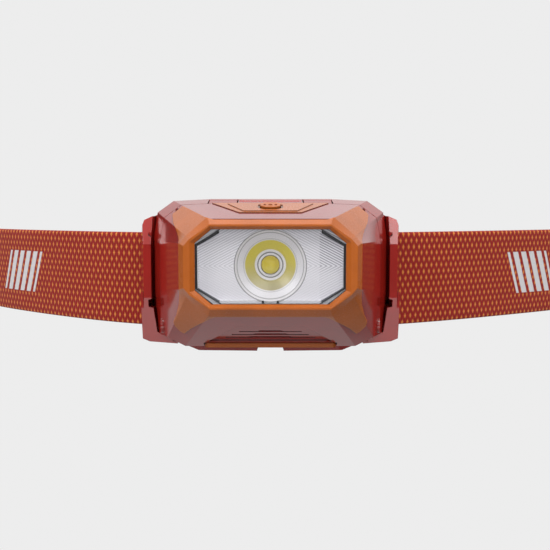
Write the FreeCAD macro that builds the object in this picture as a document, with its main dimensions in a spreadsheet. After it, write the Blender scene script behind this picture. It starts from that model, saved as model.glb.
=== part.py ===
import FreeCAD, Part
import math
import os
import re
import Sketcher

# Headlamp: a hinged lamp housing on a curved forehead frame with an elastic headband.
# Millimetres. X is to the wearer's left as seen from the front, the beam leaves along -Y, Z is up.
# The origin is where the middle of the forehead frame meets the head, half way up the band.

Vector = FreeCAD.Vector
doc = FreeCAD.newDocument("headlamp")
sheet = doc.addObject("Spreadsheet::Sheet", "Dims")

dimensions = {
    # headband and forehead frame
    "band_width": 25, "band_thick": 1.3, "band_gap": 0.3, "head_radius": 92.8,
    "keeper_thick": 1.55, "plate_thick": 1.8, "frame_half": 33.9, "frame_top": 17.5,
    "keeper_near": 24.5, "keeper_far": 28, "keeper_half": 15.2,
    "lip_front": 6.6, "lip_top": 16.1, "lip_bottom": 17.8, "lip_half": 17.8, "thumb_half": 3.4,
    # the band runs lower behind the head than on the forehead
    "drop_start": 50, "back_drop": 5, "back_depth": 121,
    # tilting joint between frame and lamp
    "tilt_depth": 9.7, "tilt_drop": 10.5, "ear_near": 25, "ear_far": 26.2, "ear_radius": 2.4,
    "pin_radius": 1.25, "pin_fit": 0.05,
    # housing outline at its back, waist and front
    "case_back": 6.3, "parting": 13, "waist": 15, "case_front": 33.6, "wall": 1.1,
    "top_back": 21.2, "top_front": 16.5, "bottom_back": 15.2, "bottom_front": 4.7,
    # cover hinge
    "hinge_depth": 9.2, "hinge_height": 19.3, "hinge_radius": 1.7, "hinge_pin": 0.8,
    # window, lens and light
    "eye": 6, "window_half": 16.45, "window_rise": 8.17, "bezel_front": 35.8,
    "lens_half": 17.5, "lens_rise": 9.2, "lens_thick": 0.9, "bowl_radius": 8.1,
    # cells
    "cell_radius": 5.25, "cell_length": 44.5, "cell_depth": 12.95, "cell_pitch": 10.53, "cell_low": -7.8,
    # electronics
    "board_back": 21.6, "board_thick": 1, "screw_radius": 0.8,
    # button and latch
    "button_half": 2.35, "button_depth": 19.4, "button_reach": 3.2, "latch_half": 16, "latch_thick": 1.1,
}
for row, (alias, number) in enumerate(dimensions.items(), start=1):
    sheet.set("A%d" % row, alias.replace("_", " "))
    sheet.set("B%d" % row, str(number))
    sheet.setAlias("B%d" % row, alias)
doc.recompute()

parts = []


def bound(expression):
    """The expression with every dimension name pointed at the sheet."""
    return re.sub(r"[a-z]+_[a-z_]+|\b(?:waist|wall|eye|parting)\b", lambda m: "Dims." + m.group(0), str(expression))


def value(expression):
    return float(sheet.evalExpression(str(expression)))


def new_body(name):
    body = doc.addObject("PartDesign::Body", name)
    body.Label = name
    parts.append(body)
    return body


def new_sketch(body, name, plane, offset, tilt=0.0, origin=None):
    """An empty sketch on an origin plane, moved along the plane's normal or laid on a sloping face."""
    sketch = body.newObject("Sketcher::SketchObject", name)
    support = [part for part in body.Origin.OriginFeatures if part.Role == plane + "_Plane"][0]
    sketch.AttachmentSupport = [(support, "")]
    sketch.MapMode = "FlatFace"
    turn = FreeCAD.Rotation(Vector(1, 0, 0), tilt)
    sketch.AttachmentOffset = FreeCAD.Placement(Vector(0, 0, 0), turn)
    if origin:
        sketch.setExpression(".AttachmentOffset.Base.y", bound(origin[0]))
        sketch.setExpression(".AttachmentOffset.Base.z", bound(origin[1]))
    else:
        sketch.setExpression(".AttachmentOffset.Base.z", bound(offset))
    return sketch


def add_loop(sketch, corners):
    """A closed loop of straight lines with every corner held by an expression."""
    points = [Vector(value(a), value(b), 0) for a, b in corners]
    first = sketch.GeometryCount
    count = len(points)
    for i, point in enumerate(points):
        sketch.addGeometry(Part.LineSegment(point, points[(i + 1) % count]), False)
    for i, (a, b) in enumerate(corners):
        line = first + i
        sketch.addConstraint(Sketcher.Constraint("Coincident", line, 2, first + (i + 1) % count, 1))
        across = sketch.addConstraint(Sketcher.Constraint("DistanceX", -1, 1, line, 1, points[i].x))
        sketch.setExpression("Constraints[%d]" % across, bound(a))
        along = sketch.addConstraint(Sketcher.Constraint("DistanceY", -1, 1, line, 1, points[i].y))
        sketch.setExpression("Constraints[%d]" % along, bound(b))


def add_circle(sketch, centre, radius):
    middle = Vector(value(centre[0]), value(centre[1]), 0)
    index = sketch.addGeometry(Part.Circle(middle, Vector(0, 0, 1), value(radius)), False)
    across = sketch.addConstraint(Sketcher.Constraint("DistanceX", -1, 1, index, 3, middle.x))
    sketch.setExpression("Constraints[%d]" % across, bound(centre[0]))
    along = sketch.addConstraint(Sketcher.Constraint("DistanceY", -1, 1, index, 3, middle.y))
    sketch.setExpression("Constraints[%d]" % along, bound(centre[1]))
    size = sketch.addConstraint(Sketcher.Constraint("Radius", index, value(radius)))
    sketch.setExpression("Constraints[%d]" % size, bound(radius))


def box(half_x, low, high):
    """Corners of a rectangle centred on the Z axis."""
    return [("-(%s)" % half_x, low), (half_x, low), (half_x, high), ("-(%s)" % half_x, high)]


def rectangle(left, right, low, high):
    return [(left, low), (right, low), (right, high), (left, high)]


def feature(body, kind, name, plane, loops=(), circles=(), offset="0", length=None, tilt=0.0, origin=None,
            back=False):
    """Pad or pocket of straight loops and circles; a pocket that removes nothing is an error."""
    before = body.Shape.Volume if body.Tip else 0
    sketch = new_sketch(body, name + "_sketch", plane, offset, tilt, origin)
    for loop in loops:
        add_loop(sketch, loop)
    for centre, radius in circles:
        add_circle(sketch, centre, radius)
    made = body.newObject("PartDesign::" + kind, name)
    made.Profile = sketch
    made.Reversed = back
    if length is None:
        made.Type = "ThroughAll"
    else:
        made.setExpression("Length", bound(length))
    sketch.Visibility = False
    doc.recompute()
    if abs(body.Shape.Volume - before) < 1e-4:
        raise RuntimeError("%s of %s changes nothing" % (name, body.Label))
    return made


def loft(body, kind, name, sections):
    """Ruled loft through outlines standing at given depths in front of the origin."""
    sketches = []
    for i, (depth, corners) in enumerate(sections):
        sketch = new_sketch(body, "%s_section_%d" % (name, i), "XZ", depth)
        add_loop(sketch, corners)
        sketches.append(sketch)
    doc.recompute()
    made = body.newObject("PartDesign::" + kind, name)
    made.Profile = sketches[0]
    made.Sections = sketches[1:]
    made.Ruled = True
    doc.recompute()
    return made


def mirrored(half):
    """A whole outline from the corners of its +X half, top to bottom."""
    other = [("-(%s)" % x, z) for x, z in reversed(half)]
    return list(half) + other


def dress(body, kind, name, size, wanted):
    """Round or bevel the edges of the body's tip that the test picks."""
    base = body.Tip
    edges = [e for e in range(1, len(base.Shape.Edges) + 1) if wanted(base.Shape.Edges[e - 1])]
    made = body.newObject("PartDesign::" + kind, name)
    made.Base = (base, ["Edge%d" % e for e in edges])
    setattr(made, "Radius" if kind == "Fillet" else "Size", size)
    doc.recompute()
    return made


def plain_part(name, shape):
    made = doc.addObject("Part::Feature", name)
    made.Label = name
    made.Shape = shape
    parts.append(made)
    return made


# ---------------------------------------------------------------- housing outline
# Corners of the +X half, as (half width, height) at the back, waist and front of the housing.
back_outline = [("15", "top_back"), ("24.6", "top_back-0.5"), ("28.7", "top_back-3.4"), ("29.8", "10.7"),
                ("29.8", "-2.7"), ("28.7", "-13"), ("24.4", "-bottom_back")]
front_outline = [("10", "top_front"), ("13.6", "top_front"), ("18.2", "top_front-4"), ("19.6", "11"),
                 ("19.6", "1"), ("18.2", "-bottom_front+4.2"), ("13.6", "-bottom_front")]
# Directions in which each corner moves when the wall is offset inwards.
inward = [(0.0, -1), (0.55, -0.95), (0.9, -0.6), (1.0, -0.15), (1.0, 0.15), (0.9, 0.6), (0.5, 1)]
waist_bottom = "-bottom_back+0.15"


def outline(depth, offset="0"):
    """Housing outline at a depth, with the wall offset inwards by the given amount."""
    share = "((%s-case_back)/(case_front-case_back))" % depth
    low = "((%s-waist)/(case_front-waist))" % depth
    half = []
    for i, (b, f) in enumerate(zip(back_outline, front_outline)):
        across = "%s+(%s-(%s))*%s" % (b[0], f[0], b[0], share)
        if i < 5:
            high = "%s+(%s-(%s))*%s" % (b[1], f[1], b[1], share)
        elif value(depth) <= value("waist"):
            high = "%s+0.15*((%s-case_back)/(waist-case_back))" % (b[1], depth)
        else:
            high = "%s+0.15+(%s-(%s)-0.15)*%s" % (b[1], f[1], b[1], low)
        half.append(("%s-(%s)*%s" % (across, offset, inward[i][0]), "%s+(%s)*(%s)" % (high, offset, inward[i][1])))
    return mirrored(half)


def on_slope(height, tilt, lift):
    """Origin of a sketch lifted off a sloping face at the waist, along the face's normal."""
    return ("-waist-(%s)*sin(%.4f deg)" % (lift, tilt), "%s+(%s)*cos(%.4f deg)" % (height, lift, tilt))


top_slope = math.degrees(math.atan(value("(top_back-top_front)/(case_front-case_back)")))
top_at_waist = "top_back-(top_back-top_front)*(waist-case_back)/(case_front-case_back)"
low_slope = math.degrees(math.atan2(value("bottom_back-0.15-bottom_front"), value("case_front-waist")))

# ---------------------------------------------------------------- forehead frame
plate_back = "keeper_thick+band_thick+2*band_gap"


def curve(depth, across):
    """Y of the forehead curve, moved out from the head by a depth, at a distance from the middle."""
    return "head_radius-sqrt((head_radius+%s)^2-(%s)^2)" % (depth, across)


frame = new_body("rear_frame")
feature(frame, "Pad", "plate_block", "XZ", [box("frame_half", "-lip_bottom", "frame_top")],
        offset="-8", length="8+plate_thick+" + plate_back)
feature(frame, "Pocket", "head_side", "XY", circles=[(("0", "head_radius"), "head_radius+" + plate_back)],
        offset="30", length="60")
feature(frame, "Pocket", "lamp_side", "XY",
        circles=[(("0", "head_radius"), "head_radius+plate_thick+" + plate_back), (("0", "head_radius"), "150")],
        offset="30", length="60")
for side in ("", "-"):
    tag = "right" if side else "left"
    flange = [(side + "30.25", "-8.4"), (side + "32.2", "-8.4"), (side + "33.9", "-1"), (side + "33.9", "1.7"),
              (side + "30.25", "0.8")]
    feature(frame, "Pad", "wing_" + tag, "XY", [flange], offset="-lip_bottom", length="lip_bottom+frame_top")
    low_wing = [(side + "30.3", "-2.4"), (side + "29.15", "-12.9"), (side + "24", "-15.65"), (side + "24", "-16.5"),
                (side + "33", "-16.5"), (side + "33", "-2.4")]
    feature(frame, "Pad", "low_wing_" + tag, "XZ", [low_wing], offset="-1.2", length="9")
for name, slope in (("high", [("-8.6", "9.4"), ("-4.6", "frame_top+0.4"), ("-8.6", "frame_top+0.4")]),
                    ("low", [("-8.6", "-3"), ("-8.6", "-18"), ("-5.2", "-18")])):
    feature(frame, "Pocket", "wing_slope_" + name, "YZ", [slope], offset="40", length="80")
corners = [("28.9", "frame_top"), ("32.3", "frame_top-1.6"), ("33.2", "13.1"), ("frame_half", "9.2"),
           ("frame_half", "-11.7"), ("33.2", "-14.6"), ("31.2", "-15.5"), ("21.3", "-16.3"),
           ("lip_half", "-lip_bottom"), ("thumb_half", "-lip_bottom"), ("thumb_half-0.6", "-lip_top+0.2")]
feature(frame, "Pocket", "frame_outline", "XZ",
        [mirrored(corners), box("40", "-30", "30")], offset="12", length="30")
for side in ("", "-"):
    tag = "right" if side else "left"
    ear_start = "ear_near" if not side else "-ear_far"
    feature(frame, "Pad", "ear_arm_" + tag, "YZ",
            [rectangle("-tilt_depth", "-1.2", "-tilt_drop-ear_radius", "-tilt_drop+ear_radius")],
            offset=ear_start, length="ear_far-ear_near")
    feature(frame, "Pad", "ear_eye_" + tag, "YZ", circles=[(("-tilt_depth", "-tilt_drop"), "ear_radius")],
            offset=ear_start, length="ear_far-ear_near")
    feature(frame, "Pad", "keeper_" + tag, "XY",
            [[(side + "keeper_near", curve("0", "keeper_near")), (side + "keeper_far", curve("0", "keeper_far")),
              (side + "keeper_far", curve("keeper_thick", "keeper_far")),
              (side + "keeper_near", curve("keeper_thick", "keeper_near"))]],
            offset="-keeper_half", length="2*keeper_half")
    for end in ("-keeper_half", "band_width/2+0.6"):
        feature(frame, "Pad", "keeper_%s_%s" % ("foot" if end[0] == "-" else "head", tag), "XY",
                [[(side + "keeper_near", curve("0.5", "keeper_near")), (side + "keeper_far", curve("0.5", "keeper_far")),
                  (side + "keeper_far", curve(plate_back + "+0.6", "keeper_far")),
                  (side + "keeper_near", curve(plate_back + "+0.6", "keeper_near"))]],
                offset=end, length="keeper_half-band_width/2-0.6")
    lip = [(side + "thumb_half", "-lip_front"), (side + "lip_half", "-lip_front+0.8"), (side + "22.3", "-4.6"),
           (side + "22.3", "-2.6"), (side + "lip_half", "-3"), (side + "thumb_half", "-4.6")]
    feature(frame, "Pad", "lip_" + tag, "XY", [lip], offset="-lip_bottom", length="lip_bottom-lip_top")
    lip_end = [(side + "18.3", "-lip_bottom-0.1"), (side + "22.5", "-lip_top-0.3"), (side + "22.5", "-lip_bottom-0.1")]
    feature(frame, "Pocket", "lip_end_" + tag, "XZ", [lip_end], offset="8", length="10")
    notch = [(side + "29.4", "-6.6"), (side + "31.1", "-6.2"), (side + "31.1", "-4.4"), (side + "29.4", "-3.9")]
    feature(frame, "Pocket", "relief_" + tag, "XZ", [notch], offset="10", length="12")
    hook = [(side + "30", "11.3"), (side + "31", "11.9"), (side + "31", "13.5"), (side + "30", "13.1")]
    feature(frame, "Pocket", "hook_" + tag, "XZ", [hook], offset="10", length="3")
feature(frame, "Pocket", "pin_bore", "YZ", circles=[(("-tilt_depth", "-tilt_drop"), "pin_radius+0.03")],
        offset="-40", length="80", back=True)

pins = new_body("pivot_pins")
feature(pins, "Pad", "pin_left", "YZ", circles=[(("-tilt_depth", "-tilt_drop"), "pin_radius")],
        offset="ear_near+0.05", length="1.8")
feature(pins, "Pad", "pin_right", "YZ", circles=[(("-tilt_depth", "-tilt_drop"), "pin_radius")],
        offset="-ear_near-1.85", length="1.8")

# ---------------------------------------------------------------- battery tray
tray = new_body("battery_tray")
rim = "parting-0.15"
loft(tray, "AdditiveLoft", "tray_block", [("case_back", outline("case_back")), (rim, outline(rim))])
dress(tray, "Fillet", "tilt_round", 4.0, lambda e: abs(e.BoundBox.ZMin + value("bottom_back")) < 0.02
      and e.BoundBox.XLength > 40 and e.BoundBox.YMin > -value("case_back") - 0.1)
loft(tray, "SubtractiveLoft", "tray_hollow",
     [("case_back+wall-0.1", outline("case_back+wall-0.1", "wall")), (rim, outline(rim, "wall"))])
corner_bar = [("-6.75", "-11.2"), ("-7.75", "-13.75"), ("-10.3", "-14.75"), ("-10.3", "-13.8"), ("-7.7", "-11.2")]
feature(tray, "Pad", "corner_bar", "YZ", [corner_bar], offset="-25", length="50")
for side in ("", "-"):
    tag = "right" if side else "left"
    start = "24.3" if not side else "-25.5"
    feature(tray, "Pad", "end_wall_" + tag, "YZ", [rectangle("-(%s)" % rim, "-case_back-0.5", "-12.8", "17.2")],
            offset=start, length="1.2")
    feature(tray, "Pad", "pivot_boss_" + tag, "YZ", circles=[(("-tilt_depth", "-tilt_drop"), "2.2")],
            offset="25.5" if not side else "-27.5", length="2")
    feature(tray, "Pocket", "ear_room_" + tag, "YZ", [rectangle("-12.4", "-5", "-17", "-7.8")],
            offset="26.5" if not side else "-24.7", length="1.8")
    slot = [(side + "8", "17.3"), (side + "15.5", "17.3"), (side + "15.5", "24"), (side + "8", "24")]
    feature(tray, "Pocket", "hinge_slot_" + tag, "XZ", [slot], offset="14", length="6.8")
feature(tray, "Pocket", "pivot_bore", "YZ", circles=[(("-tilt_depth", "-tilt_drop"), "pin_radius+pin_fit")],
        offset="27", length="54")
feature(tray, "Pocket", "hinge_gap", "YZ", [rectangle("-14", "-12.5", "17", "24")], offset="15.5", length="31")
feature(tray, "Pad", "hinge_barrel", "YZ", circles=[(("-hinge_depth", "hinge_height"), "hinge_radius")],
        offset="-7.8", length="15.6")
feature(tray, "Pocket", "hinge_bore", "YZ", circles=[(("-hinge_depth", "hinge_height"), "hinge_pin+0.03")],
        offset="-8", length="16", back=True)

hinge_pin = new_body("cover_hinge_pin")
feature(hinge_pin, "Pad", "pin", "YZ", circles=[(("-hinge_depth", "hinge_height"), "hinge_pin")],
        offset="-15", length="30")

# ---------------------------------------------------------------- cells and contacts
heights = ["cell_low", "cell_low+cell_pitch", "cell_low+2*cell_pitch"]
cells = new_body("battery_cells")
springs = new_body("negative_springs")
contacts = new_body("positive_contacts")
for level, height in enumerate(heights):
    middle = ("-cell_depth", height)
    turned_round = level % 2 == 1
    side = "" if turned_round else "-"
    feature(cells, "Pad", "can_%d" % level, "YZ", circles=[(middle, "cell_radius")],
            offset="-21.9" if turned_round else "-21.7", length="cell_length-0.9")
    feature(cells, "Pad", "nub_%d" % level, "YZ", circles=[(middle, "1.9")],
            offset="-22.8" if turned_round else "21.6", length="1.2")
    leaf = [("24.05", "-1.9"), ("24.05", "1.9"), ("23.8", "1.9"), ("23.8", "-1.5"), ("22.1", "0.1"), ("23", "1.6"),
            ("22.8", "1.75"), ("21.8", "0.1"), ("21.8", "-0.1"), ("23.75", "-1.9")]
    feature(springs, "Pad", "leaf_%d" % level, "XY", [[(side + x, "%s-cell_depth" % y) for x, y in leaf]],
            offset=height + "-2.2", length="4.4")
    feature(contacts, "Pad", "plate_%d" % level, "YZ",
            [rectangle("-cell_depth-2", "-cell_depth+2", height + "-2.2", height + "+2.2")],
            offset="-24.05" if turned_round else "23.8", length="0.25")
    feature(contacts, "Pad", "dimple_%d" % level, "YZ", circles=[(middle, "1.6")],
            offset="-23.9" if turned_round else "22.9", length="1")
dress(cells, "Fillet", "can_rounding", 0.6, lambda e: abs(e.Length - 2 * math.pi * value("cell_radius")) < 0.01)

# ---------------------------------------------------------------- front shell
shell = new_body("front_shell")
edge = "parting+0.15"
loft(shell, "AdditiveLoft", "shell_block",
     [(edge, outline(edge)), ("waist", outline("waist")), ("case_front", outline("case_front"))])
loft(shell, "SubtractiveLoft", "shell_hollow",
     [(edge, outline(edge, "wall")), ("waist", outline("waist", "wall")),
      ("case_front-wall", outline("case_front-wall", "wall"))])
window = [("window_half-4", "eye+window_rise+0.5"), ("window_half+0.5", "eye+window_rise-3"),
          ("window_half+0.5", "eye-window_rise+3"), ("window_half-4", "eye-window_rise-0.5")]
feature(shell, "Pocket", "window", "XZ", [mirrored(window)], offset="case_front+1", length="5")
for side in ("", "-"):
    tag = "right" if side else "left"
    arm = [("-hinge_depth", "hinge_height+hinge_radius"), ("-hinge_depth", "hinge_height+0.4"),
           ("-parting-0.6", "18.85"), ("-parting-0.6", "19.9")]
    start = "8.3" if not side else "-15.1"
    feature(shell, "Pad", "hinge_arm_" + tag, "YZ", [arm], offset=start, length="6.8")
    feature(shell, "Pad", "hinge_eye_" + tag, "YZ", circles=[(("-hinge_depth", "hinge_height"), "hinge_radius")],
            offset=start, length="6.8")
feature(shell, "Pocket", "hinge_bore", "YZ", circles=[(("-hinge_depth", "hinge_height"), "hinge_pin+0.05")],
        offset="-16", length="32", back=True)
on_top = on_slope(top_at_waist, top_slope, "0")
button_middle = "(waist-button_depth)/cos(%.4f deg)" % top_slope


def stadium(half, reach, middle, grow="0"):
    """Long-hole outline with bevelled ends, on the sloping top."""
    wide = "%s+%s" % (half, grow)
    tall = "%s+%s" % (reach, grow)
    corner = "(%s)*0.55" % half
    return mirrored([(corner, "%s+%s" % (middle, tall)), (wide, "%s+%s-%s*0.7" % (middle, tall, half)),
                     (wide, "%s-(%s-%s*0.7)" % (middle, tall, half)), (corner, "%s-(%s)" % (middle, tall))])


feature(shell, "Pocket", "button_hole", "XY", [stadium("button_half", "button_reach", button_middle, "0.2")],
        tilt=top_slope, origin=on_top, length="3")
upper_cell = ("-cell_depth", heights[-1])
feature(shell, "Pocket", "cell_room", "YZ", circles=[(upper_cell, "cell_radius+0.3")], offset="23.2", length="46.4")
feature(shell, "Pocket", "contact_room", "YZ",
        [rectangle("-cell_depth-2.3", "-cell_depth+2.3", heights[-1] + "-2.5", heights[-1] + "+2.5")],
        offset="24.4", length="48.8")
feature(shell, "Pocket", "latch_room", "XY", [mirrored([("latch_half+0.3", "-17.2"), ("latch_half+0.3", "-12")])],
        offset="-bottom_back+latch_thick+0.3", length="3")
feature(shell, "Pocket", "latch_bores", "XY", circles=[(("-11", "-15.4"), "0.85"), (("11", "-15.4"), "0.85")],
        offset="-12.5", length="3")
# shallow recess and cooling slots on the sloping lower face
on_low = on_slope(waist_bottom, 180 - low_slope, "0")
facing_down = 180 - low_slope
recess = mirrored([("7.9", "13.6"), ("15.2", "3.2")])
feature(shell, "Pocket", "vent_recess", "XY", [recess], tilt=facing_down, origin=on_low, length="0.5")
for i, (middle, half, up) in enumerate([(2.5, 7.4, 9), (3.6, 9.2, 6.9), (4.7, 10.8, 4.9)]):
    slot = mirrored([(str(middle), str(up + 0.75)), (str(middle + 0.5), str(up + 0.25)),
                     (str(half), str(up + 0.25)), (str(half), str(up - 0.25))])
    feature(shell, "Pocket", "vent_slot_%d" % i, "XY", [slot], tilt=facing_down, origin=on_low, length="0.95")

# ---------------------------------------------------------------- bezel
bezel = new_body("bezel")
front_face = mirrored([("9", "eye+9.3"), ("13.2", "eye+9.3"), ("17.7", "eye+6.1"), ("19", "10.6"), ("19", "1.4"),
                       ("17.7", "eye-6.1"), ("13.2", "eye-9.3")])
loft(bezel, "AdditiveLoft", "bezel_block",
     [("waist+1.2", outline("waist+1.2", "-0.5")), ("case_front", outline("case_front", "-0.45")),
      ("bezel_front", front_face)])
loft(bezel, "SubtractiveLoft", "shell_room",
     [("waist+1.2", outline("waist+1.2", "-0.04")), ("case_front+0.04", outline("case_front", "-0.04"))])
arms = mirrored([("12.4", "top_front-0.15"), ("14.8", "17.0"), ("17.4", "18.0"), ("20.3", "19.1"),
                 ("21.8", "19.5"), ("23.3", "18.9"), ("23.6", "17.2"), ("22.9", "15.5"), ("21.5", "13.75"),
                 ("20.4", "11.8"),
                 ("20.4", "0"), ("20.9", "-3.05"), ("21.9", "-5.9"), ("22.9", "-7.75"), ("22.7", "-9.1"),
                 ("21.4", "-10.6"), ("20.5", "-11"), ("18.4", "-9.1"), ("15.9", "-7.4"), ("13.4", "-5.8"),
                 ("12.1", "-bottom_front-0.6")])
feature(bezel, "Pocket", "arm_outline", "XZ", [arms, box("45", "-30", "40")], offset="0", length="50", back=True)
lens_seat = mirrored([("lens_half-3.6", "eye+lens_rise+0.08"), ("lens_half+0.08", "eye+lens_rise-3.2"),
                      ("lens_half+0.08", "eye-lens_rise+3.2"), ("lens_half-3.6", "eye-lens_rise-0.08")])
feature(bezel, "Pocket", "lens_seat", "XZ", [lens_seat], offset="case_front+1.35", length="3")
opening = mirrored([("window_half-3.6", "eye+window_rise"), ("window_half", "eye+window_rise-3"),
                    ("window_half", "eye-window_rise+3"), ("window_half-3.6", "eye-window_rise")])
flare = mirrored([("window_half-3.2", "eye+window_rise+0.7"), ("window_half+1.15", "eye+window_rise-2.7"),
                  ("window_half+1.15", "eye-window_rise+2.7"), ("window_half-3.2", "eye-window_rise-0.7")])
feature(bezel, "Pocket", "opening", "XZ", [opening], offset="bezel_front+1", length="4")
loft(bezel, "SubtractiveLoft", "flare", [("case_front+1.3", opening), ("bezel_front", flare)])

# ---------------------------------------------------------------- lens and its gasket
lens_outline = mirrored([("lens_half-3.6", "eye+lens_rise"), ("lens_half", "eye+lens_rise-3.2"),
                         ("lens_half", "eye-lens_rise+3.2"), ("lens_half-3.6", "eye-lens_rise")])
gasket = new_body("lens_gasket")
feature(gasket, "Pad", "ring", "XZ", [lens_outline, mirrored(window)], offset="case_front+0.03", length="0.35")
lens = new_body("lens")
feature(lens, "Pad", "pane", "XZ", [lens_outline], offset="case_front+0.4", length="lens_thick")

# ---------------------------------------------------------------- reflector
reflector = new_body("reflector")
middle = ("0", "eye")
inner = mirrored([("window_half-3.9", "eye+window_rise+0.2"), ("window_half+0.2", "eye+window_rise-3"),
                  ("window_half+0.2", "eye-window_rise+3"), ("window_half-3.9", "eye-window_rise-0.2")])
face = mirrored([("window_half-4.5", "eye+window_rise-0.6"), ("window_half-0.6", "eye+window_rise-3.3"),
                 ("window_half-0.6", "eye-window_rise+3.3"), ("window_half-4.5", "eye-window_rise+0.6")])
feature(reflector, "Pad", "plate", "XZ", [inner], offset="30.6", length="case_front-30.6")
feature(reflector, "Pocket", "face", "XZ", [face], offset="case_front", length="1.5")
feature(reflector, "Pad", "bowl_back", "XZ", circles=[(middle, "bowl_radius-0.2")], offset="27", length="4")
posts = [(x, z) for x in ("-14.2", "14.2") for z in ("eye-6.2", "eye+6.2")]
feature(reflector, "Pad", "posts", "XZ", circles=[(post, "1.7") for post in posts],
        offset="board_back+board_thick", length="31-board_back-board_thick")
feature(reflector, "Pocket", "screw_holes", "XZ", circles=[(post, "screw_radius+0.02") for post in posts],
        offset="28", length="8")


def turned(body, kind, name, corners):
    """Solid or cut turned about the beam axis; corners are (Y, distance from the axis)."""
    sketch = new_sketch(body, name + "_sketch", "YZ", "0", origin=("eye", "0"))
    add_loop(sketch, corners)
    made = body.newObject("PartDesign::" + kind, name)
    made.Profile = sketch
    made.ReferenceAxis = (sketch, ["H_Axis"])
    made.Angle = 360
    doc.recompute()
    return made


turned(reflector, "Groove", "bowl",
       [("-34", "0"), ("-34", "bowl_radius"), ("-32.1", "bowl_radius"), ("-31.4", "7.5"), ("-30", "5.8"),
        ("-28.9", "3.9"), ("-28.3", "3.6"), ("-28.3", "2.25"), ("-27.85", "2.25"), ("-27.85", "3.1"), ("-26", "3.1"),
        ("-26", "0")])

# ---------------------------------------------------------------- light source and electronics
led_board = new_body("led_board")
feature(led_board, "Pad", "plate", "XZ", [box("6.5", "eye-6.5", "eye+6.5")], offset="25.3", length="1.6")
led = new_body("led_package")
feature(led, "Pad", "base", "XZ", [box("2.05", "eye-2.05", "eye+2.05")], offset="26.92", length="0.8")
dome = new_body("led_dome")
turned(dome, "Revolution", "silicone",
       [("-27.74", "0"), ("-27.74", "2.1"), ("-28.4", "2.05"), ("-29", "1.75"), ("-29.45", "1.15"), ("-29.7", "0")])
spreader = new_body("heat_spreader")
feature(spreader, "Pad", "plate", "XZ", [box("11", "eye-6.5", "eye+6.5")], offset="24.3", length="0.97")
board = new_body("circuit_board")
feature(board, "Pad", "plate", "XZ", [box("17.2", "eye-8.6", "15.3")], offset="board_back", length="board_thick")
feature(board, "Pocket", "screw_holes", "XZ", circles=[(post, "screw_radius+0.2") for post in posts],
        offset="board_back+2", length="4")
components = new_body("driver_components")
feature(components, "Pad", "coil", "XZ", circles=[(("13.4", "eye"), "2.1")], offset="board_back+board_thick+0.02",
        length="2.2")
feature(components, "Pad", "chip", "XZ", [rectangle("-15.8", "-11.8", "eye-2", "eye+2")],
        offset="board_back+board_thick+0.02", length="0.9")
switch = new_body("tact_switch")
feature(switch, "Pad", "case", "XZ", [box("2.3", "12.8", "15.2")], offset="board_back+board_thick+0.02",
        length="3")
feature(switch, "Pad", "plunger", "XY", circles=[(("0", "-24.2"), "1")], offset="15", length="0.65")
screw_shapes = []
for x, z in posts:
    head_back = -value("board_back")
    spot = (value(x), value(z))
    head = Part.makeCylinder(1.5, 1.1, Vector(spot[0], head_back + 1.12, spot[1]), Vector(0, -1, 0))
    shank = Part.makeCylinder(value("screw_radius"), 5.5, Vector(spot[0], head_back + 0.5, spot[1]), Vector(0, -1, 0))
    cross = Part.makeBox(2, 0.6, 0.4, Vector(spot[0] - 1, head_back + 0.7, spot[1] - 0.2))
    other = Part.makeBox(0.4, 0.6, 2, Vector(spot[0] - 0.2, head_back + 0.7, spot[1] - 1))
    screw_shapes.append(head.fuse(shank).cut(cross.fuse(other)).removeSplitter())
plain_part("board_screws", Part.makeCompound(screw_shapes))

inner_wall = new_body("inner_wall")
feature(inner_wall, "Pad", "plate", "XZ", [outline("19.9", "wall+0.12")], offset="18.8", length="1.05")
feature(inner_wall, "Pocket", "button_room", "XZ", [box("3.6", "15.4", "20")], offset="21", length="3")

# ---------------------------------------------------------------- button
surround = new_body("button_surround")
plate = mirrored([("14.3", "1.75"), ("7.1", "-11.6")])
feature(surround, "Pad", "plate", "XY", [plate, stadium("button_half", "button_reach", button_middle, "0.15")],
        tilt=top_slope, origin=on_slope(top_at_waist, top_slope, "0.03"), length="0.15")
ridge = mirrored([("10.4", "-0.2"), ("6.2", "-10.2")])
feature(surround, "Pad", "ridge", "XY", [ridge, stadium("button_half", "button_reach", button_middle, "0.6")],
        tilt=top_slope, origin=on_slope(top_at_waist, top_slope, "0.15"), length="0.2")

button = new_body("power_button")
feature(button, "Pad", "key", "XY", [stadium("button_half", "button_reach", button_middle)],
        tilt=top_slope, origin=on_slope(top_at_waist, top_slope, "-1.2"), length="2")
flange = mirrored([("3.1", button_middle + "+1.7"), ("3.1", button_middle + "-4.9")])
feature(button, "Pad", "flange", "XY", [flange],
        tilt=top_slope, origin=on_slope(top_at_waist, top_slope, "-1.75"), length="0.5")
feature(button, "Pad", "neck", "XY", [mirrored([("2.1", button_middle + "+1.5"), ("2.1", button_middle + "-1.4")])],
        tilt=top_slope, origin=on_slope(top_at_waist, top_slope, "-1.4"), length="0.6")

# ---------------------------------------------------------------- latch
latch = new_body("latch_bar")
bar = [("latch_half-0.6", "-16.9"), ("latch_half", "-16.3"), ("latch_half", "-13.3")]
feature(latch, "Pad", "bar", "XY", [mirrored(bar)], offset="-bottom_back+0.1", length="latch_thick")
feature(latch, "Pad", "pegs", "XY", circles=[(("-11", "-15.4"), "0.75"), (("11", "-15.4"), "0.75")],
        offset="-bottom_back+0.5", length="1.6")

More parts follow.
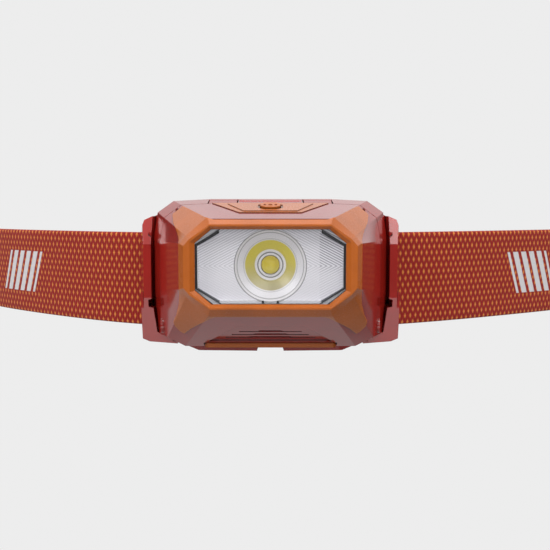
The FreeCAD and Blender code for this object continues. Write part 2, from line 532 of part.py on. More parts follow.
# ---------------------------------------------------------------- headband and its slider
# Way points of the band on each side of the head, after it leaves the frame, in plan.
left_side = [(-33, 3.5), (-46, 10.1), (-54, 15.4), (-67.4, 25.4), (-80.4, 36.4), (-89.6, 45.4), (-99, 58),
             (-103.5, 76), (-99, 94), (-87, 109), (-68, 118.4), (-48, 121)]
right_side = [(33, 3.5), (44.6, 8.8), (61, 17.6), (75.7, 26.3), (87, 33.4), (99, 43.5), (107, 58), (109, 76),
              (103, 94), (90, 108.6), (70, 118), (50, 121)]
band_radius = value("head_radius+keeper_thick+band_gap+band_thick/2")
front_steps = [math.radians(step) for step in range(-18, 19, 4)]
front = [(band_radius * math.sin(a), value("head_radius") - band_radius * math.cos(a)) for a in front_steps]
back = [(x, 121) for x in (32, 16, 0, -16, -32)]
plan = front + right_side + back + left_side[::-1]
half_width = value("band_width") / 2


def closed_curve(points):
    curve_line = Part.BSplineCurve()
    curve_line.interpolate(points, PeriodicFlag=True)
    return curve_line


middle_line = closed_curve([Vector(x, y, -half_width) for x, y in plan])
steps = 90
rims = []
for side in (-0.5, 0.5):
    rim_points = []
    for i in range(steps):
        along = middle_line.FirstParameter + (middle_line.LastParameter - middle_line.FirstParameter) * i / steps
        tangent = middle_line.tangent(along)[0]
        across = Vector(tangent.y, -tangent.x, 0) * (side * value("band_thick"))
        rim_points.append(middle_line.value(along) + across)
    rims.append(Part.Face(Part.Wire([closed_curve(rim_points).toShape()])))
rims.sort(key=lambda rim_face: rim_face.Area)
loop = rims[1].cut(rims[0])
tail_y = value("back_depth") - 2.5
tail = Part.makePlane(68, value("band_thick"), Vector(-34, tail_y - value("band_thick") / 2, -half_width))
seam = Part.makePlane(5, 2.5, Vector(29, tail_y, -half_width))
footprint = loop.fuse([tail, seam]).removeSplitter()
drop_start = value("drop_start")
fall = value("back_drop/(back_depth-drop_start)")
shear = FreeCAD.Matrix(1, 0, 0, 0, 0, 1, 0, 0, 0, -fall, 1, fall * drop_start, 0, 0, 0, 1)
upwards = Vector(0, 0, 2 * half_width)
fore_half = footprint.common(Part.makePlane(400, 100, Vector(-200, drop_start - 100, -half_width)))
back_half = footprint.common(Part.makePlane(400, 100, Vector(-200, drop_start, -half_width)))
tilted = []
for back_face in back_half.Faces:
    tilted.append(Part.Face([wire.transformGeometry(shear) for wire in back_face.Wires]).extrude(upwards))
band = fore_half.extrude(upwards).Solids
plain_part("headband", band[0].fuse(band[1:] + tilted))

slider = new_body("band_slider")
outside = mirrored([("6", "116.6"), ("7.2", "117.8"), ("7.2", "122.4"), ("6", "123.6")])
feature(slider, "Pad", "frame", "XY", [outside], offset="-15.8-back_drop", length="31.6")
rear_slot = rectangle("-9", "9", "-band_width/2-0.5-back_drop", "band_width/2+0.5-back_drop")
feature(slider, "Pocket", "outer_channel", "XZ", [rear_slot], offset="-120.1", length="1.8")
feature(slider, "Pocket", "inner_channel", "XZ", [rear_slot], offset="-117.6", length="1.8")

# ---------------------------------------------------------------- checks and export
doc.recompute()
for thing in doc.Objects:
    if "Invalid" in thing.State or "Error" in thing.State:
        raise RuntimeError("%s did not rebuild: %s" % (thing.Name, thing.State))
os.makedirs("parts", exist_ok=True)
for part in parts:
    if part.Shape.isNull() or not part.Shape.isValid():
        raise RuntimeError("%s has no sound shape" % part.Label)
    part.Shape.exportStep("parts/%s.step" % part.Label)
    size = part.Shape.BoundBox
    print("%-20s solids %d volume %9.1f  x %7.2f %7.2f  y %7.2f %7.2f  z %7.2f %7.2f" % (
        part.Label, len(part.Shape.Solids), part.Shape.Volume, size.XMin, size.XMax, size.YMin, size.YMax,
        size.ZMin, size.ZMax))
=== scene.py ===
import math

import bpy
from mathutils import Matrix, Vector


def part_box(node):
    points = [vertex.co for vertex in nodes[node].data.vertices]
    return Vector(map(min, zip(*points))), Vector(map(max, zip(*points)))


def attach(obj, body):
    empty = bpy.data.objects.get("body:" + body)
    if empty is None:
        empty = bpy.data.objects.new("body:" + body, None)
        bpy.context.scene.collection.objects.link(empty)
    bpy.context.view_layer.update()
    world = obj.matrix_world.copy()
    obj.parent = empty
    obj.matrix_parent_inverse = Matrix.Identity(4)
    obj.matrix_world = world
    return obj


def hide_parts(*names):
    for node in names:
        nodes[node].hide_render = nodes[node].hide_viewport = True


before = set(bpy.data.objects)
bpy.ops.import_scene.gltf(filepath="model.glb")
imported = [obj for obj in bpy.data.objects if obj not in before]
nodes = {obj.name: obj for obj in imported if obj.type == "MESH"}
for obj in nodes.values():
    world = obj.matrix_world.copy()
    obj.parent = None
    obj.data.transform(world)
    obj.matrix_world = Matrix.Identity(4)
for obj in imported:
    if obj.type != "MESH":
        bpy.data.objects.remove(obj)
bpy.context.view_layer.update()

MM = 0.001
lens_low, lens_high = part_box("lens")
EYE = Vector((0, lens_low.y, (lens_low.z + lens_high.z) / 2))
BAND_LOW, BAND_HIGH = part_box("headband")
HALF_WIDTH = BAND_HIGH.z
BAND_THICK = 1.3 * MM
TAIL_LENGTH = 68 * MM
SMOOTHING = 30

RED = (0.33, 0.014, 0.009)
FRAME_RED = (0.38, 0.017, 0.012)
ORANGE = (0.50, 0.122, 0.017)
KEY_ORANGE = (0.55, 0.150, 0.028)


# ---------------------------------------------------------------- node material helper
class Material:
    """A principled material whose nodes are added one at a time."""

    def __init__(self, name, colour=(0.5, 0.5, 0.5), roughness=0.4, **sockets):
        self.material = bpy.data.materials.new(name)
        self.material.use_nodes = True
        self.tree = self.material.node_tree
        self.shader = self.tree.nodes["Principled BSDF"]
        self.set("Base Color", colour)
        self.set("Roughness", roughness)
        for key, number in sockets.items():
            self.set(key.replace("_", " "), number)

    def set(self, socket, content):
        target = self.shader.inputs[socket]
        if isinstance(content, bpy.types.NodeSocket):
            self.tree.links.new(content, target)
        elif isinstance(content, tuple):
            target.default_value = (*content, 1)[:len(target.default_value)]
        else:
            target.default_value = content

    def add(self, kind, *inputs, **settings):
        """Adds a node, fills its inputs in order and returns it. None leaves an input as it is."""
        node = self.tree.nodes.new("ShaderNode" + kind)
        for key, content in settings.items():
            setattr(node, key, content)
        for i, content in enumerate(inputs):
            if isinstance(content, bpy.types.NodeSocket):
                self.tree.links.new(content, node.inputs[i])
            elif content is not None:
                node.inputs[i].default_value = content
        return node

    def sum(self, operation, *inputs):
        return self.add("Math", *inputs, operation=operation).outputs[0]

    def step(self, amount, start, end, low=0.0, high=1.0):
        """amount mapped smoothly from start..end to low..high."""
        node = self.add("MapRange", amount, start, end, low, high, interpolation_type="SMOOTHSTEP")
        return node.outputs[0]

    def blend(self, amount, first, second):
        node = self.tree.nodes.new("ShaderNodeMix")
        node.data_type = "RGBA"
        for socket, content in zip((node.inputs[0], node.inputs[6], node.inputs[7]), (amount, first, second)):
            if isinstance(content, bpy.types.NodeSocket):
                self.tree.links.new(content, socket)
            elif isinstance(content, tuple):
                socket.default_value = (*content, 1)
            else:
                socket.default_value = content
        return node.outputs[2]

    def place(self):
        return self.add("TexCoord").outputs["Object"]

    def noise(self, scale, detail=2.0, at=None):
        texture = self.add("TexNoise", noise_dimensions="3D")
        self.tree.links.new(at or self.place(), texture.inputs["Vector"])
        texture.inputs["Scale"].default_value = scale
        texture.inputs["Detail"].default_value = detail
        return texture.outputs[0]

    def relief(self, height, distance, strength=1.0, edge=0.0):
        """Bump from height, over edges rounded to radius edge."""
        bump = self.add("Bump")
        bump.inputs["Strength"].default_value = strength
        bump.inputs["Distance"].default_value = distance
        self.tree.links.new(height, bump.inputs["Height"])
        if edge:
            rounding = self.add("Bevel", edge)
            rounding.samples = 6
            self.tree.links.new(rounding.outputs[0], bump.inputs["Normal"])
        self.set("Normal", bump.outputs[0])

    def zigzag(self, amount):
        """1 at every whole number of amount, falling evenly to 0 half way between."""
        off = self.sum("SUBTRACT", self.sum("FRACT", amount), 0.5)
        return self.sum("MULTIPLY", self.sum("ABSOLUTE", off), 2.0)

    def ring(self, distance, radius, width, soft):
        """1 within width of the circle of that radius, fading over soft."""
        off = self.sum("ABSOLUTE", self.sum("SUBTRACT", distance, radius))
        return self.step(off, width / 2, width / 2 + soft, 1.0, 0.0)


def plastic(name, colour, roughness, coat=0.35, edge=0.18 * MM, grain=0.002 * MM, shine=0.5):
    """Moulded plastic: faint mottling, painted shade in crevices, a fine spark-eroded grain and rounded
    edges.
    """
    made = Material(name, colour, roughness, Coat_Weight=coat, Coat_Roughness=0.06, Specular_IOR_Level=shine)
    cloud = made.step(made.noise(140, 3), 0.3, 0.7)
    darker = tuple(0.88 * part for part in colour)
    shade = made.blend(cloud, darker, colour)
    # Painted shade: an ambient-occlusion node darkens the colour in crevices and between parts, down to a
    # quarter of it.
    crevice_occlusion = made.add("AmbientOcclusion", None, 0.9 * MM)
    painted_crevice_shade = made.step(crevice_occlusion.outputs["AO"], 0.45, 0.95)
    made.set("Base Color", made.blend(painted_crevice_shade, tuple(0.25 * part for part in colour), shade))
    fine = made.noise(5200, 2)
    made.set("Roughness", made.step(fine, 0.25, 0.75, roughness * 0.85, roughness * 1.2))
    made.relief(fine, grain, 0.5, edge)
    return made.material


def metal(name, colour, roughness, brushed=False):
    """Bare metal, mottled or brushed across X."""
    made = Material(name, colour, roughness, Metallic=1.0)
    mapping = made.add("Mapping", made.place())
    mapping.inputs["Scale"].default_value = (40 if brushed else 1, 1, 1)
    streaks = made.noise(600, 3, mapping.outputs[0])
    made.set("Base Color", made.blend(streaks, tuple(0.8 * part for part in colour), colour))
    made.set("Roughness", made.step(streaks, 0.2, 0.8, roughness * 0.7, roughness * 1.3))
    made.relief(streaks, 0.005 * MM, 0.4, 0.1 * MM)
    return made.material


def board(name):
    """Green solder mask with faint copper traces under it."""
    made = Material(name, (0.02, 0.12, 0.045), 0.35, Coat_Weight=0.5)
    axes = made.add("SeparateXYZ", made.place()).outputs
    traces = made.sum("SINE", made.sum("MULTIPLY", axes[0], 5200.0))
    cross = made.sum("SINE", made.sum("MULTIPLY", axes[2], 3600.0))
    lines = made.step(made.sum("MAXIMUM", traces, cross), 0.9, 0.97)
    made.set("Base Color", made.blend(lines, (0.018, 0.11, 0.04), (0.05, 0.24, 0.09)))
    made.relief(lines, 0.02 * MM, 0.5)
    return made.material


def reflector_coat(name):
    """White metallised plate with fine ridges round the eye and painted shade on them, a painted reflection
    of the yellow phosphor in the bowl, and a faint painted glow.
    """
    made = Material(name, (0.7, 0.7, 0.72), 0.42, Metallic=0.1, Coat_Weight=0.1)
    axes = made.add("SeparateXYZ", made.place()).outputs
    across = made.sum("ABSOLUTE", axes[0])
    above = made.sum("SUBTRACT", axes[2], EYE.z)
    height = made.sum("ABSOLUTE", above)
    squares = made.sum("ADD", made.sum("POWER", across, 2.0), made.sum("POWER", height, 2.0))
    distance = made.sum("SQRT", squares)
    # slanting ridges that meet level with the eye, strongest in the right-hand field; their dark stripes are
    # painted shade in the colour as well as bump
    phase = made.sum("ADD", height, made.sum("MULTIPLY", across, 0.52))
    ridges = made.sum("SINE", made.sum("MULTIPLY", phase, 2 * math.pi / (0.58 * MM)))
    right = made.step(axes[0], 10.9 * MM, 11.0 * MM, 0.5, 1.0)
    upper = made.step(above, -3 * MM, 2 * MM, 0.3, 1.0)
    outside = made.step(distance, 7.9 * MM, 8.2 * MM)
    strength = made.sum("MULTIPLY", made.sum("MULTIPLY", right, upper), outside)
    ridge_shade = made.sum("MULTIPLY", made.step(ridges, -0.4, 0.9), strength)
    shade = made.blend(ridge_shade, (0.72, 0.71, 0.75), (0.24, 0.23, 0.27))
    # rings of the bowl; the yellow band is a painted reflection of the phosphor, paler towards the bottom
    inner = made.step(distance, 3.5 * MM, 3.6 * MM)
    phosphor_reflection_band = made.sum("MULTIPLY", inner, made.step(distance, 5.65 * MM, 5.8 * MM, 1.0, 0.0))
    fade = made.step(above, -5.5 * MM, 3 * MM)
    yellow = made.blend(fade, (0.38, 0.34, 0.19), (0.64, 0.54, 0.045))
    shade = made.blend(phosphor_reflection_band, shade, yellow)
    # dark circles as radius and width in millimetres, grey and strength
    circles = ((2.85, 0.22, 0.07, 0.85), (6.0, 0.12, 0.36, 0.6),
               (7.45, 0.14, 0.22, 0.7), (8.05, 0.16, 0.16, 0.8))
    for radius, width, grey, weight in circles:
        line = made.sum("MULTIPLY", made.ring(distance, radius * MM, width * MM, 0.06 * MM), weight)
        shade = made.blend(line, shade, (grey, grey, grey * 1.05))
    made.set("Base Color", shade)
    # Painted light: the plate glows faintly in its own colours, a little more above the eye than below,
    # standing for light bounced round the bowl.
    made.set("Emission Color", shade)
    made.set("Emission Strength", made.step(above, -6 * MM, 4 * MM, 0.1, 0.2))
    made.relief(made.sum("MULTIPLY", ridges, strength), 0.01 * MM, 0.3)
    return made.material


def clear_lens(name):
    """Clear plastic with a very faint moulding ripple."""
    made = Material(name, (0.3, 0.31, 0.33), 0.04, Alpha=0.06, Specular_IOR_Level=0.6, Coat_Weight=0.2)
    ripple = made.noise(90, 1)
    made.relief(ripple, 0.02 * MM, 0.3)
    made.set("Roughness", made.step(ripple, 0.3, 0.7, 0.03, 0.07))
    return made.material


def phosphor(name):
    """The yellow light source under its dome, deeper yellow above and paler below, with a faint painted glow.
    """
    made = Material(name, (0.6, 0.5, 0.08), 0.2, Coat_Weight=0.3, Coat_Roughness=0.05, Specular_IOR_Level=0.3)
    axes = made.add("SeparateXYZ", made.place()).outputs
    above = made.sum("SUBTRACT", axes[2], EYE.z)
    tone = made.step(above, -1.6 * MM, 0.6 * MM)
    made.set("Base Color", made.blend(tone, (0.58, 0.50, 0.06), (0.48, 0.38, 0.012)))
    # Painted light: a faint glow standing for light falling on the phosphor, not light of its own.
    made.set("Emission Color", (0.55, 0.42, 0.02))
    made.set("Emission Strength", 0.25)
    made.relief(made.noise(3000, 2), 0.01 * MM, 0.3)
    return made.material


def webbing(name):
    """Elastic webbing: upright orange lozenges on a crimson ribbed ground, from the piece's cloth map."""
    made = Material(name, (0.3, 0.04, 0.02), 0.8, Sheen_Weight=0.1, Sheen_Roughness=0.5,
                    Specular_IOR_Level=0.2)
    uv = made.add("UVMap", uv_map="cloth").outputs[0]
    axes = made.add("SeparateXYZ", uv).outputs
    along, up = axes[0], axes[1]
    column_pitch = 1.7
    row_pitch = 3.4
    wobble = made.sum("MULTIPLY", made.noise(60, 2, uv), 0.12)
    column = made.zigzag(made.sum("ADD", made.sum("DIVIDE", along, column_pitch), wobble))
    row = made.zigzag(made.sum("DIVIDE", up, row_pitch))
    lozenge = made.sum("ABSOLUTE", made.sum("SUBTRACT", made.sum("ADD", column, row), 1.0))
    orange = made.step(lozenge, 0.42, 0.72)
    thread = made.noise(4.5, 3, uv)
    ground = made.blend(made.step(thread, 0.35, 0.65), (0.24, 0.010, 0.008), (0.36, 0.019, 0.013))
    yarn = made.blend(made.step(thread, 0.35, 0.65), (0.60, 0.170, 0.030), (0.78, 0.28, 0.060))
    shade = made.blend(orange, ground, yarn)
    # printed mark: five slanting bars, one group on each side of the lamp
    bar_pitch = 3.4
    mark_middle = 85.0
    slant = made.sum("ADD", made.sum("ABSOLUTE", along), made.sum("MULTIPLY", up, 0.35))
    bar = made.step(made.zigzag(made.sum("DIVIDE", slant, bar_pitch)), 0.58, 0.66, 1.0, 0.0)
    tall = made.step(made.sum("ABSOLUTE", up), 6.0, 6.2, 1.0, 0.0)
    off_middle = made.sum("ABSOLUTE", made.sum("SUBTRACT", slant, mark_middle))
    inside = made.step(off_middle, 2.5 * bar_pitch - 0.05, 2.5 * bar_pitch, 1.0, 0.0)
    ink = made.sum("MULTIPLY", made.sum("MULTIPLY", bar, tall), inside)
    shade = made.blend(made.sum("MULTIPLY", ink, 0.95), shade, (0.72, 0.71, 0.73))
    made.set("Base Color", shade)
    rib_pitch = 0.85
    pick_pitch = 0.42
    rib = made.sum("COSINE", made.sum("MULTIPLY", along, 2 * math.pi / rib_pitch))
    pick = made.sum("COSINE", made.sum("MULTIPLY", up, 2 * math.pi / pick_pitch))
    weave = made.sum("ADD", made.sum("MULTIPLY", rib, 0.5), made.sum("MULTIPLY", pick, 0.25))
    weave = made.sum("ADD", weave, made.sum("MULTIPLY", lozenge, 0.8))
    weave = made.sum("ADD", weave, made.sum("MULTIPLY", made.noise(9, 2, uv), 0.5))
    made.relief(weave, 0.12 * MM, 0.7)
    made.set("Roughness", made.step(thread, 0.2, 0.8, 0.7, 0.95))
    return made.material


finishes = {
    "red_case": plastic("case_red", RED, 0.17),
    "red_frame": plastic("frame_red", FRAME_RED, 0.18),
    "orange_trim": plastic("trim_orange", ORANGE, 0.24, 0.1, shine=0.3),
    "orange_key": plastic("key_orange", KEY_ORANGE, 0.34, 0.0, shine=0.22),
    "clear_lens": clear_lens("lens_clear"),
    "seal": plastic("seal_grey", (0.05, 0.05, 0.055), 0.6, 0.0),
    "mirror_coat": reflector_coat("reflector_white"),
    "led_yellow": phosphor("phosphor_yellow"),
    "led_ceramic": plastic("ceramic_white", (0.7, 0.68, 0.6), 0.5, 0.1),
    "alloy": metal("alloy_brushed", (0.72, 0.72, 0.73), 0.35, brushed=True),
    "green_board": board("board_green"),
    "dark_parts": plastic("parts_dark", (0.02, 0.02, 0.022), 0.4, 0.1),
    "steel": metal("steel_drawn", (0.55, 0.55, 0.56), 0.25),
    "nickel": metal("nickel_plate", (0.68, 0.66, 0.62), 0.22),
    "cell_wrap": plastic("cell_sleeve", (0.16, 0.17, 0.18), 0.3, 0.4),
    "black_plastic": plastic("plastic_black", (0.022, 0.021, 0.022), 0.42, 0.1),
    "webbing": webbing("webbing_woven"),
    "orange_mark": plastic("mark_orange", (0.36, 0.072, 0.012), 0.35, 0.1),
    # Painted shade and a painted glint: dark and light plates put behind the clear lens at its edges and
    # corners.
    "shaded_glass": plastic("glass_painted_shade", (0.035, 0.032, 0.040), 0.15, 0.2),
    "glinting_glass": plastic("glass_painted_glint", (0.42, 0.43, 0.5), 0.12, 0.5),
}
for piece in nodes.values():
    for place in piece.material_slots:
        place.material = finishes[place.material.name.split(".")[0]]


# ---------------------------------------------------------------- headband
def loop_line(count=720):
    """Middle line of the band, found by looking at its CAD solid from all round and then from above."""
    band = nodes["headband"]
    down = Vector((0, 0, -1))
    centre = Vector((0, (BAND_LOW.y + BAND_HIGH.y) / 2, (BAND_LOW.z + BAND_HIGH.z) / 2))
    points = []
    for i in range(count):
        bearing = 2 * math.pi * i / count
        outward = Vector((math.sin(bearing), -math.cos(bearing), 0))
        spot, normal = band.ray_cast(centre + outward, -outward)[1:3]
        spot -= normal * BAND_THICK / 2
        spot.z = band.ray_cast(spot - down, down)[1].z - HALF_WIDTH
        points.append(spot)
    for _ in range(SMOOTHING):
        points = [(points[i - 1] + 2 * points[i] + points[(i + 1) % count]) / 4 for i in range(count)]
    return points


def band_section():
    """Half-round edged section of the webbing as (outward, up), going round it once."""
    half_thick = BAND_THICK / 2
    flat = HALF_WIDTH - half_thick
    rows = 14
    section = [(half_thick, -flat + 2 * flat * i / rows) for i in range(rows + 1)]
    for i in range(1, 6):
        turn = math.pi * i / 6
        section.append((half_thick * math.cos(turn), flat + half_thick * math.sin(turn)))
    section += [(-half_thick, flat - 2 * flat * i / rows) for i in range(rows + 1)]
    for i in range(1, 6):
        turn = math.pi * i / 6
        section.append((-half_thick * math.cos(turn), -flat - half_thick * math.sin(turn)))
    return section


def webbing_strip(name, line, closed, start):
    """A band along line, with its cloth map: distance along it from the front, and height, in millimetres."""
    section = band_section()
    size = len(section)
    count = len(line)
    vertices = []
    lengths = [0.0]
    for i, point in enumerate(line):
        before = line[i - 1] if closed or i else line[0]
        after = line[(i + 1) % count] if closed or i + 1 < count else line[-1]
        tangent = (after - before).normalized()
        outward = Vector((tangent.y, -tangent.x, 0))
        vertices += [point + outward * out + Vector((0, 0, up)) for out, up in section]
        if i:
            lengths.append(lengths[-1] + (point - line[i - 1]).length)
    total = lengths[-1] + (line[0] - line[-1]).length
    faces = []
    marks = []
    for i in range(count if closed else count - 1):
        here = lengths[i]
        there = lengths[i + 1] if i + 1 < count else total
        if closed and here > total / 2 - 1e-9:
            here, there = here - total, there - total
        for j in range(size):
            k = (j + 1) % size
            n = (i + 1) % count
            faces.append((i * size + j, n * size + j, n * size + k, i * size + k))
            low, high = section[j][1], section[k][1]
            marks += [(here, low), (there, low), (there, high), (here, high)]
    if not closed:
        faces.append(tuple(range(size)))
        faces.append(tuple(reversed(range((count - 1) * size, count * size))))
        marks += [(0, up) for _, up in section] + [(0, up) for _, up in reversed(section)]
    mesh = bpy.data.meshes.new(name)
    mesh.from_pydata(vertices, [], faces)
    mesh.polygons.foreach_set("use_smooth", [True] * len(faces))
    cloth = mesh.uv_layers.new(name="cloth")
    for corner, (along, up) in zip(cloth.data, marks):
        corner.uv = ((along + start) / MM, up / MM)
    mesh.update()
    strip = bpy.data.objects.new(name, mesh)
    bpy.context.scene.collection.objects.link(strip)
    strip.data.materials.append(finishes["webbing"])
    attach(strip, "bracket")
    return strip, total


loop = loop_line()
strap, strap_length = webbing_strip("strap_webbing", loop, True, 0)
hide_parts("headband")

# The doubled end lies flat against the inside of the loop behind the head.
tail_steps = 34
tail_y = BAND_HIGH.y - 3.3 * MM
tail_z = BAND_LOW.z + HALF_WIDTH + 0.2 * MM
tail_line = [Vector((TAIL_LENGTH * (0.5 - i / tail_steps), tail_y, tail_z)) for i in range(tail_steps + 1)]
tail = webbing_strip("strap_tail", tail_line, False, 0.3)[0]


# ---------------------------------------------------------------- window details
def solid(name, vertices, faces, finish, body, smooth=False):
    """A small mesh piece that rides on a body."""
    mesh = bpy.data.meshes.new(name)
    mesh.from_pydata(vertices, [], faces)
    mesh.polygons.foreach_set("use_smooth", [smooth] * len(faces))
    mesh.update()
    piece = bpy.data.objects.new(name, mesh)
    bpy.context.scene.collection.objects.link(piece)
    mesh.materials.append(finish)
    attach(piece, body)
    return piece


def window_corners(half, rise, cut_across, cut_up):
    """Corners of the eight-sided window outline round the eye, from the top left going clockwise."""
    upper_right = [(half - cut_across, rise), (half, rise - cut_up)]
    right = upper_right + [(x, -z) for x, z in reversed(upper_right)]
    left = [(-x, z) for x, z in reversed(right)]
    return left[-1:] + right + left[:-1]


def ring_strip(name, outer, inner, front, back, finish):
    """A flat frame between two outlines of the window, as thick as front to back."""
    vertices = []
    for outline in (outer, inner):
        for depth in (front, back):
            vertices += [(x, depth, EYE.z + z) for x, z in outline]
    count = len(outer)
    faces = []
    for i in range(count):
        k = (i + 1) % count
        for low, high in ((0, 2), (2, 3), (3, 1), (1, 0)):
            faces.append((low * count + i, low * count + k, high * count + k, high * count + i))
    return solid(name, vertices, faces, finish, "cover")


# The lens's edge: a dark frame of painted shade just behind the glass.
rim_half = 16.6 * MM
rim_rise = 8.3 * MM
rim = ring_strip("lens_edge", window_corners(rim_half, rim_rise, 5.5 * MM, 3.4 * MM),
                 window_corners(rim_half - 0.5 * MM, rim_rise - 0.1 * MM, 5.2 * MM, 3.45 * MM),
                 EYE.y + 0.92 * MM, EYE.y + 1.25 * MM, finishes["shaded_glass"])

BOX_FACES = [(0, 1, 2, 3), (7, 6, 5, 4), (0, 4, 5, 1), (1, 5, 6, 2), (2, 6, 7, 3), (3, 7, 4, 0)]
SIDES = (("left", -1), ("right", 1))


def shard(name, corners, finish):
    """A thin plate just behind the glass, from four corners in millimetres from the eye."""
    vertices = [(x * MM, EYE.y + depth * MM, EYE.z + z * MM) for depth in (0.95, 1.3) for x, z in corners]
    solid(name, vertices, BOX_FACES, finishes[finish], "cover")


# The lens's corner facets: dark plates of painted shade at the top, light plates of a painted glint at the
# bottom.
for level, up, finish, corners in (
        ("top", 1, "shaded_glass", ((16.4, 4.75), (15.9, 4.6), (11.2, 7.35), (11.3, 7.9))),
        ("low", -1, "glinting_glass", ((16.4, 4.75), (16.0, 4.65), (11.2, 7.55), (11.3, 7.9)))):
    for side, mirror in SIDES:
        placed = [(mirror * x, up * z) for x, z in corners]
        shard("lens_facet_%s_%s" % (level, side), placed, finish)
# Two small dark posts low in the window, in the same dark finish.
for side, mirror in SIDES:
    post = [(mirror * 1.65 + x, z) for x, z in ((-0.28, -8.1), (0.28, -8.1), (0.2, -7.55), (-0.2, -7.55))]
    shard("lens_post_" + side, post, "shaded_glass")


# Two small raised dots and a short bar on the power button.
def raised_dot(name, x, y, radius, tall, stretch=1.0, rings=4, sides=16):
    """A low dome standing on the top of the button."""
    button = nodes["power_button"]
    on_top = button.ray_cast(Vector((x, y, 0.1)), Vector((0, 0, -1)))[1].z - 0.04 * MM
    vertices = []
    for ring in range(rings):
        lean = math.pi / 2 * ring / rings
        for side in range(sides):
            turn = 2 * math.pi * side / sides
            wide = radius * math.cos(lean)
            vertices.append((x + stretch * wide * math.cos(turn), y + wide * math.sin(turn),
                             on_top + tall * math.sin(lean)))
    vertices.append((x, y, on_top + tall))
    faces = [tuple(reversed(range(sides)))]
    for ring in range(rings):
        for side in range(sides):
            here, there = ring * sides + side, ring * sides + (side + 1) % sides
            if ring < rings - 1:
                faces.append((here, there, there + sides, here + sides))
            else:
                faces.append((here, there, rings * sides))
    solid(name, vertices, faces, finishes["orange_mark"], "button", True)


key_low, key_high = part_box("power_button")
key_middle = (key_low.y + key_high.y) / 2
for name, x, stretch in (("left", -1.3, 1.0), ("right", 1.3, 1.0), ("middle", 0, 1.6)):
    raised_dot("button_dot_" + name, x * MM, key_middle, 0.34 * MM, 0.3 * MM, stretch)


# ---------------------------------------------------------------- studio
def stage_panel(name, size, place, turn, colour, power):
    """A flat glowing panel that isn't part of the object."""
    bpy.ops.mesh.primitive_plane_add(size=1, location=place, rotation=turn)
    panel = bpy.context.object
    panel.name = name
    panel.scale = (*size, 1)
    glow = Material(name + "_surface", (0.8, 0.8, 0.8), 0.9)
    glow.set("Base Color", (0.0, 0.0, 0.0))
    glow.set("Specular IOR Level", 0.0)
    glow.set("Emission Color", colour)
    glow.set("Emission Strength", power)
    panel.data.materials.append(glow.material)
    return panel


BACKGROUND = 0.846
floor = stage_panel("studio_floor", (12, 12), (0, 0, -0.45), (0, 0, 0), (BACKGROUND,) * 3, 1.0)
for way in ("diffuse", "glossy", "transmission", "shadow"):
    setattr(floor, "visible_" + way, False)

# The sky is bright above, dimmer below and behind the head, and dark at the sides. It dims to the left
# above and to the right below. The camera itself sees one plain pale tone, which the floor shares.
world = bpy.data.worlds.new("studio")
bpy.context.scene.world = world
world.use_nodes = True
sky = world.node_tree


def sky_node(kind, *inputs, **settings):
    node = sky.nodes.new("ShaderNode" + kind)
    for key, content in settings.items():
        setattr(node, key, content)
    for i, content in enumerate(inputs):
        if isinstance(content, bpy.types.NodeSocket):
            sky.links.new(content, node.inputs[i])
        else:
            node.inputs[i].default_value = content
    return node.outputs[0]


def sky_zone(component, start, end, brightness):
    """Fades from dark to brightness as the component of the direction goes from start to end."""
    return sky_node("MapRange", component, start, end, 0.0, brightness, interpolation_type="SMOOTHSTEP")


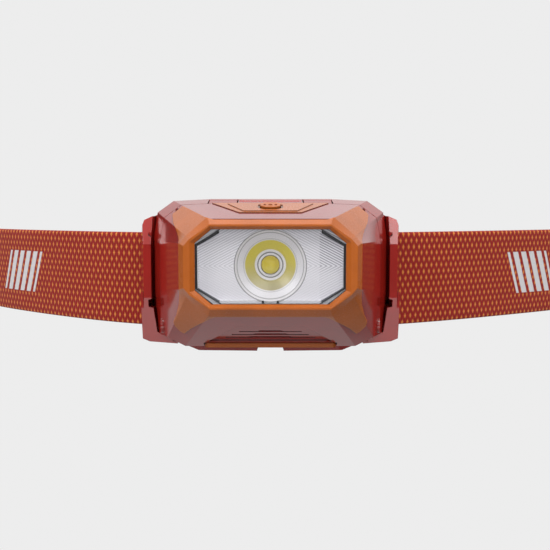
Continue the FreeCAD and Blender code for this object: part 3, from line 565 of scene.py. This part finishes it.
direction = sky.nodes.new("ShaderNodeTexCoord").outputs["Generated"]
split = sky.nodes.new("ShaderNodeSeparateXYZ")
sky.links.new(direction, split.inputs[0])
across = split.outputs[0]
left_lean = sky_node("MapRange", across, -0.6, 0.0, -0.18, 0.0)
leaning = sky_node("Math", left_lean, split.outputs[2], operation="ADD")
above = sky_zone(leaning, 0.02, 0.14, 1.0)
above_side = sky_node("MapRange", across, -0.6, 0.5, 0.82, 0.94)
above = sky_node("Math", above, above_side, operation="MULTIPLY")
below = sky_zone(split.outputs[2], -0.10, -0.18, 0.5)
below_side = sky_node("MapRange", across, 0.35, 0.7, 1.0, 0.15)
below = sky_node("Math", below, below_side, operation="MULTIPLY")
behind = sky_zone(split.outputs[1], 0.86, 0.96, 0.75)
sky_light = sky_node("Math", above, below, operation="ADD")
sky_light = sky_node("Math", sky_light, behind, operation="MAXIMUM")
sky_light = sky_node("Math", sky_light, 0.05, operation="MAXIMUM")
ray = sky.nodes.new("ShaderNodeLightPath")
choose = sky.nodes.new("ShaderNodeMix")
choose.data_type = "FLOAT"
choose.inputs[3].default_value = BACKGROUND
sky.links.new(ray.outputs["Is Camera Ray"], choose.inputs[0])
sky.links.new(sky_light, choose.inputs[2])
sky.links.new(choose.outputs[0], sky.nodes["Background"].inputs["Strength"])
sky.nodes["Background"].inputs["Color"].default_value = (1, 1, 1, 1)


def soft_light(name, place, size, power, aim=(0, -0.02, 0)):
    """A rectangular light turned towards the lamp."""
    lamp = bpy.data.lights.new(name, "AREA")
    lamp.shape = "RECTANGLE"
    lamp.size, lamp.size_y = size
    lamp.energy = power
    holder = bpy.data.objects.new(name, lamp)
    bpy.context.scene.collection.objects.link(holder)
    holder.location = place
    holder.rotation_euler = (Vector(aim) - Vector(place)).to_track_quat("-Z", "Y").to_euler()
    return holder


soft_light("key_above", (0.5, -0.68, 0.85), (0.8, 0.5), 5)
# two panels that are only seen as reflections
for name, place, size, power in (("glint_below", (-0.1, -0.95, -0.48), (1.6, 0.5), 3.2),
                                 ("glint_above", (-0.15, 0.25, 0.95), (0.8, 0.5), 2.4)):
    soft_light(name, place, size, power).visible_diffuse = False
soft_light("fill_left", (-0.85, -0.7, 0.8), (0.5, 0.4), 7)
soft_light("fill_front", (0, -1.4, 0.3), (1.4, 0.4), 1.6)

CAMERA_PLACE = (0, -0.2015, 0.0184)
LOOK_DOWN = 4.86
camera_data = bpy.data.cameras.new("camera")
camera = bpy.data.objects.new("camera", camera_data)
bpy.context.scene.collection.objects.link(camera)
camera_data.lens = 50
camera_data.sensor_width = 36
camera_data.shift_x = 0.0084
camera.location = CAMERA_PLACE
camera.rotation_euler = (math.radians(90 - LOOK_DOWN), 0, 0)
camera_data.clip_start = 0.01
bpy.context.scene.camera = camera
bpy.context.scene.view_settings.view_transform = "Standard"
